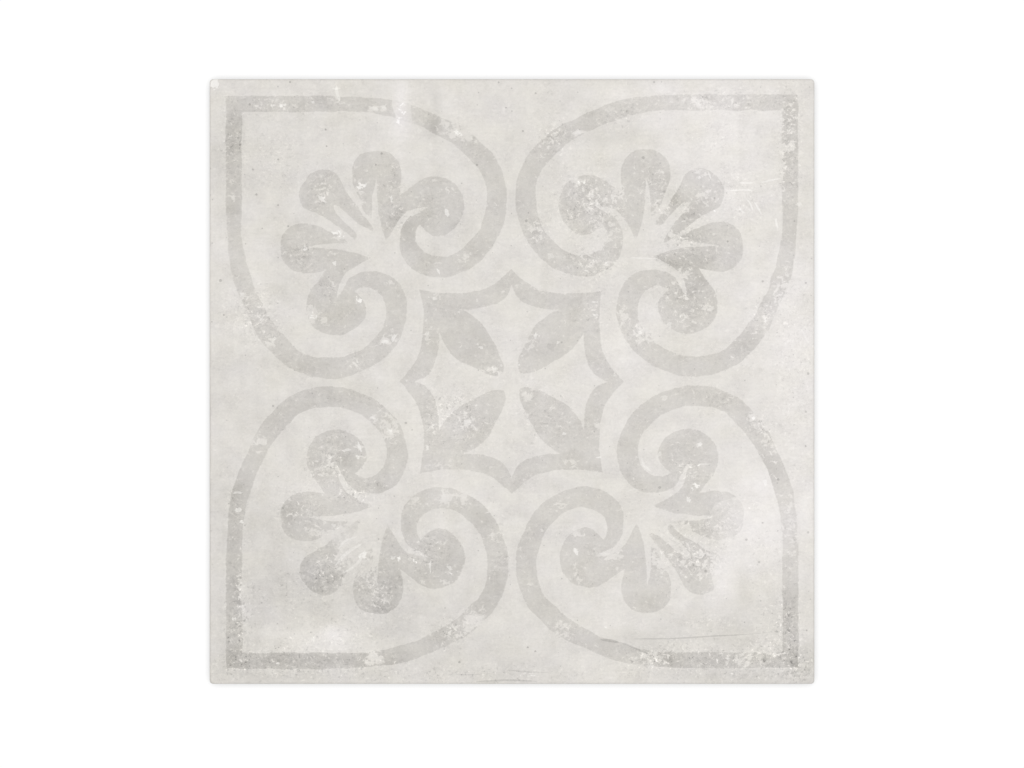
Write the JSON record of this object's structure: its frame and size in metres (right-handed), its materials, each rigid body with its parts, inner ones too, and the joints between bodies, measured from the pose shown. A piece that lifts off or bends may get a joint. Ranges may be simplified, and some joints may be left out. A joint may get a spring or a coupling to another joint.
{
  "type": "decorative tile",
  "caption": "Square pressed porcelain tile with a worn scroll and palmette ornament on its matt face, an eased edge and a keyed back for bedding in adhesive.",
  "frame": {"origin": "middle of the back, on the plane that the ribs of the back lie on", "axes": "+Z out of the decorated face, +X and +Y along the edges, with +Y towards the top of the ornament in the picture"},
  "size_m": [0.2, 0.2, 0.009],
  "materials": {
    "porcelain": "matte"
  },
  "bodies": {
    "root": {"tile": "porcelain"}
  },
  "joints": []
}
